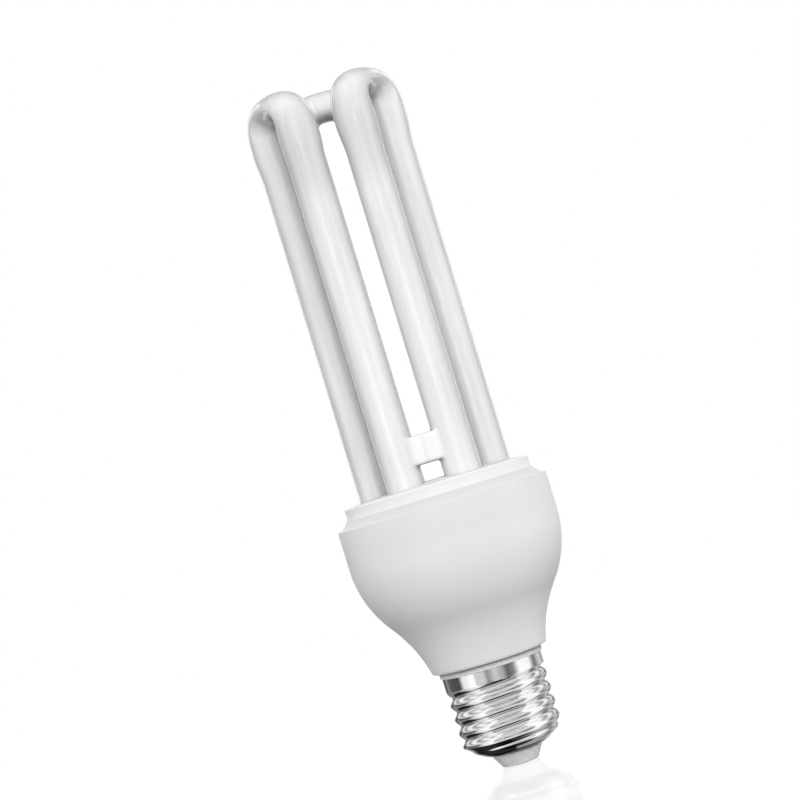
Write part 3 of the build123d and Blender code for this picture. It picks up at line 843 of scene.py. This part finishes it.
# Finish of each part inside the housing: colour, roughness, metal
INSIDE = {
    "white_cement": ((0.76, 0.75, 0.70), 0.9, 0.0),
    "board_laminate": ((0.50, 0.36, 0.17), 0.6, 0.0),
    "ferrite": ((0.09, 0.09, 0.10), 0.65, 0.0),
    "black_moulding": ((0.04, 0.04, 0.045), 0.5, 0.0),
    "enamelled_copper": ((0.62, 0.27, 0.10), 0.3, 1.0),
    "capacitor_sleeve": ((0.03, 0.04, 0.08), 0.3, 0.0),
    "film_dip": ((0.42, 0.08, 0.04), 0.25, 0.0),
    "resistor_coat": ((0.25, 0.38, 0.32), 0.6, 0.0),
    "diac_body": ((0.12, 0.22, 0.48), 0.2, 0.0),
    "chip_body": ((0.05, 0.05, 0.05), 0.45, 0.0),
    "tinned_metal": ((0.66, 0.66, 0.64), 0.35, 1.0),
    "wire_sleeve": ((0.74, 0.74, 0.72), 0.4, 0.0),
}


def dress():
    """Builds the pieces that show, gives every other node its finish, and returns the glass."""
    inside = {slot: mottled(slot, *finish) for slot, finish in INSIDE.items()}
    glass = discharge_tube(opal_glass())
    upper_housing(white_plastic("cap_plastic", CAP_SHADE_TONES))
    lower_housing(white_plastic("cup_plastic", CUP_SHADE_TONES))
    screw_shell(bright_nickel())
    base_insulator(grey_insulator())
    centre_contact(inside["tinned_metal"])
    for part in frame["record"]["subparts"]:
        material = inside.get(part["material_slot"])
        if material:
            mesh = frame["nodes"][part["node"]].data
            mesh.materials.clear()
            mesh.materials.append(material)
    return glass


# World. A direction is in degrees from the camera to the right, and a height is from -1 below to 1 above

# Tones of the screens around the bulb, as its metal mirrors them, by direction
AROUND = (
    (-180, 1.0), (-168, 1.0), (-154, 0.09), (-146, 0.10), (-135, 0.28), (-120, 0.10), (-88, 0.08), (-74, 0.95),
    (-50, 1.2), (-41, 0.72), (-24, 0.7), (-16, 0.34), (3, 0.68), (16, 0.5), (31, 0.15), (43, 0.25), (62, 1.2),
    (86, 1.1), (105, 0.22), (130, 0.7), (147, 0.38), (168, 1.0), (180, 1.0),
)
# The heights at which the screens give way to a ceiling and a table, both of one tone
CEILING = (0.12, 0.35)
TABLE = (-0.35, -0.14)
OPEN_TONE = 0.95
# Stripes across the darker screens by height, and the tones over which a screen gets too bright to have them
STRIPES = (
    (-1.0, 1.0), (-0.75, 1.0), (-0.6, 0.5), (-0.45, 1.15), (-0.3, 0.4), (-0.17, 1.05), (0.1, 1.05), (0.2, 0.4),
    (0.3, 1.15), (0.42, 0.4), (0.54, 1.2), (0.66, 0.45), (0.78, 1.2), (0.88, 0.5), (0.96, 1.1), (1.0, 1.0),
)
PLAIN = (0.75, 0.95)
# Nearly black straight down, by height
BELOW = ((-1.0, 0.04), (-0.94, 0.04), (-0.82, 1.0), (1.0, 1.0))
# The share that is taken from the room low down behind the bulb, by direction, and the heights where that ends
BEHIND = ((-180, 0.97), (-105, 0.97), (-85, 0.0), (85, 0.0), (110, 0.4), (180, 0.6))
SUNK = (-0.5, -0.2)
# Soft light from all around, weaker toward the ceiling
FILL = ((-1.0, 0.6), (-0.12, 0.6), (0.03, 0.33), (0.35, 0.34), (0.7, 0.26), (1.0, 0.2))


def white_world():
    """White where it is seen, a soft fill for the object, and a room of screens in its mirror surfaces."""
    world = bpy.data.worlds.new("studio")
    bpy.context.scene.world = world
    world.use_nodes = True
    g = Graph(world.node_tree)
    axes = g.axes("Generated")
    height = axes["Z"]
    turn = g.calc("ARCTAN2", axes["X"], g.calc("MULTIPLY", axes["Y"], -1))
    direction = g.calc("MULTIPLY", turn, 180 / math.pi)
    screens = g.tones(direction, AROUND)
    ends = g.calc("MAXIMUM", g.span(height, CEILING, (0, OPEN_TONE)), g.span(height, TABLE, (OPEN_TONE, 0)))
    stripes = g.calc("MAXIMUM", g.tones(height, STRIPES), g.span(screens, PLAIN, (0, 1)))
    taken = g.calc("MULTIPLY", g.tones(direction, BEHIND), g.span(height, SUNK, (1, 0)))
    lit = g.calc("MULTIPLY", g.tones(height, BELOW), g.calc("SUBTRACT", 1, taken))
    striped = g.calc("MULTIPLY", g.calc("MAXIMUM", screens, ends), stripes)
    room = g.calc("MULTIPLY", striped, lit)
    path = g.nodes.new("ShaderNodeLightPath").outputs
    clear = g.calc("MAXIMUM", path["Is Camera Ray"], path["Is Transmission Ray"])
    shown = g.calc("MAXIMUM", clear, g.calc("MULTIPLY", path["Is Glossy Ray"], room))
    fill = g.calc("MULTIPLY", g.calc("SUBTRACT", 1, g.seen()), g.tones(height, FILL))
    backdrop = g.nodes["Background"]
    backdrop.inputs["Color"].default_value = (1, 1, 1, 1)
    g.links.new(g.calc("ADD", shown, fill), backdrop.inputs["Strength"])


# Table, by the distance from the bulb's axis in metres: the light that it sends back, painted into its colour
# as a bright pool by the tip and a painted shadow around it, and its own white
FLOOR_REACH = 0.6
BOUNCE = ((0.0, 0.9), (0.018, 0.9), (0.036, 0.12), (0.198, 0.12), (0.348, 0.55), (FLOOR_REACH, 0.55))
FLOOR_FADE = (0.1, 0.3)
FLOOR_GLOW = (0.96, 1.25)
FLOOR_MATT = 0.2
FLOOR_MIRROR = 0.25
FLOOR_ROUGHNESS = 0.06


def floor():
    """A pale polished table top: white where it is seen, with a weak shadow and a faint mirror image."""
    material = bpy.data.materials.new("floor")
    material.use_nodes = True
    g = Graph(material.node_tree)
    g.nodes.remove(g.nodes["Principled BSDF"])
    white = g.seen()
    length = g.nodes.new("ShaderNodeVectorMath")
    length.operation = "LENGTH"
    g.links.new(g.nodes.new("ShaderNodeTexCoord").outputs["Object"], length.inputs[0])
    distance = length.outputs["Value"]
    # Painted light and shadow, in the colour that only the object sees
    unseen = g.calc("MULTIPLY", g.tones(distance, BOUNCE), g.calc("SUBTRACT", 1, white))
    matt = g.nodes.new("ShaderNodeBsdfDiffuse")
    g.links.new(g.calc("ADD", unseen, g.calc("MULTIPLY", white, FLOOR_MATT)), matt.inputs["Color"])
    glow = g.nodes.new("ShaderNodeEmission")
    far = g.span(distance, FLOOR_FADE, FLOOR_GLOW)
    g.links.new(g.calc("MULTIPLY", white, far), glow.inputs["Strength"])
    both = g.nodes.new("ShaderNodeAddShader")
    g.links.new(matt.outputs["BSDF"], both.inputs[0])
    g.links.new(glow.outputs["Emission"], both.inputs[1])
    mirror = g.nodes.new("ShaderNodeBsdfGlossy")
    mirror.inputs["Roughness"].default_value = FLOOR_ROUGHNESS
    polished = g.nodes.new("ShaderNodeMixShader")
    polished.inputs["Fac"].default_value = FLOOR_MIRROR
    g.links.new(both.outputs["Shader"], polished.inputs[1])
    g.links.new(mirror.outputs["BSDF"], polished.inputs[2])
    g.links.new(polished.outputs["Shader"], g.nodes["Material Output"].inputs["Surface"])
    mesh = bpy.data.meshes.new("floor")
    corners = [(FLOOR_REACH * x, FLOOR_REACH * y, 0) for x, y in ((-1, -1), (1, -1), (1, 1), (-1, 1))]
    mesh.from_pydata(corners, [], [(0, 1, 2, 3)])
    mesh.materials.append(material)
    table = bpy.data.objects.new("floor", mesh)
    table.visible_glossy = False
    bpy.context.scene.collection.objects.link(table)


# Lamps, in metres and watts: name, place, height that it aims at on the bulb's axis, size, power
LAMPS = (
    ("key", (0.3, -1.5, 1.0), 0.08, (1.5, 1.1), 25.2),
    ("left_side", (-1.3, -0.7, 0.9), 0.12, (0.9, 0.9), 6.0),
    ("right_side", (1.3, -0.6, 0.9), 0.12, (0.9, 0.9), 3.6),
    ("back", (0, 1.6, 0.5), 0.08, (1.6, 0.8), 14.0),
)
# Lamps that light only the tubes: name, direction in degrees from the camera, power
TUBE_LAMPS = (("left_tubes", -62, 2.5), ("right_tubes", 62, 2.2))
TUBE_LAMP_REACH = 1.2
TUBE_LAMP_RISE = 0.2
TUBE_LAMP_SIZE = (0.5, 0.8)
# Strips that only gleam in the tubes: name, direction, distance, width, tone
STRIPS = (
    ("left_rim", -146, 0.6, 0.26, 2.0),
    ("right_rim", 146, 0.6, 0.26, 2.0),
    ("front_gleam", -6, 1.0, 0.3, 1.2),
    ("side_gleam", 50, 1.0, 0.2, 1.0),
)
STRIP_HEIGHT = 0.7
STRIP_SLOPE = 0.08
TUBE_MIDDLE = (Z_CAP + Z_APEX) / 2 * MM


def lamp(name, place, aim_z, size, watts, only=None):
    """A soft box that lights the object, or a single piece of it."""
    light = bpy.data.lights.new(name, "AREA")
    light.shape = "RECTANGLE"
    light.size, light.size_y = size
    light.energy = watts
    source = bpy.data.objects.new(name, light)
    source.location = place
    source.rotation_euler = (UP * aim_z - Vector(place)).to_track_quat("-Z", "Y").to_euler()
    source.visible_glossy = False
    if only:
        receivers = bpy.data.collections.new(name)
        receivers.objects.link(only)
        source.light_linking.receiver_collection = receivers
    bpy.context.scene.collection.objects.link(source)
    return source


def beside(degrees, reach, rise):
    """A place at a direction from the camera, a distance and a height above the middle of the tubes."""
    turn = math.radians(degrees)
    return reach * math.sin(turn), -reach * math.cos(turn), TUBE_MIDDLE + rise


def strip(name, degrees, reach, width, tone, glass):
    """An upright strip of light that only gleams in the tubes."""
    watts = tone * math.pi * width * STRIP_HEIGHT
    place = beside(degrees, reach, reach * STRIP_SLOPE)
    source = lamp(name, place, TUBE_MIDDLE, (width, STRIP_HEIGHT), watts, glass)
    source.visible_glossy = True
    source.visible_diffuse = False


# Camera of the photograph, in millimetres, pixels and degrees; its sensor in millimetres and its clip in metres
IMAGE_SIZE = 800
FOCAL_PX = 2550
SENSOR_WIDTH = 36.0
CLIP = (0.01, 50)
CAMERA_DEGREES = 0.3
CAMERA_DISTANCE = 647.8
CAMERA_Z = 76.15
TARGET = (-2.60, 0.0, 96.68)
ROLL_DEGREES = 16.95


def camera():
    """The photograph's camera: the bulb stands upright and the frame is rolled."""
    angle = math.radians(CAMERA_DEGREES)
    place = Vector((CAMERA_DISTANCE * math.sin(angle), -CAMERA_DISTANCE * math.cos(angle), CAMERA_Z))
    forward = (Vector(TARGET) - place).normalized()
    level_right = forward.cross(UP).normalized()
    level_up = level_right.cross(forward)
    roll = math.radians(ROLL_DEGREES)
    right = level_right * math.cos(roll) - level_up * math.sin(roll)
    up = level_up * math.cos(roll) + level_right * math.sin(roll)
    view = bpy.data.cameras.new("camera")
    view.sensor_width = SENSOR_WIDTH
    view.lens = SENSOR_WIDTH * FOCAL_PX / IMAGE_SIZE
    view.clip_start, view.clip_end = CLIP
    eye = bpy.data.objects.new("camera", view)
    turn = Matrix((right, up, -forward)).transposed()
    eye.matrix_world = Matrix.Translation(place * MM) @ turn.to_4x4()
    bpy.context.scene.collection.objects.link(eye)
    bpy.context.scene.camera = eye


def studio(glass):
    """The room, the table, the lamps and the camera."""
    bpy.context.scene.view_settings.view_transform = "Standard"
    white_world()
    floor()
    for row in LAMPS:
        lamp(*row)
    for name, degrees, watts in TUBE_LAMPS:
        place = beside(degrees, TUBE_LAMP_REACH, TUBE_LAMP_RISE)
        lamp(name, place, TUBE_MIDDLE, TUBE_LAMP_SIZE, watts, glass)
    for row in STRIPS:
        strip(*row, glass)
    camera()


studio(dress())
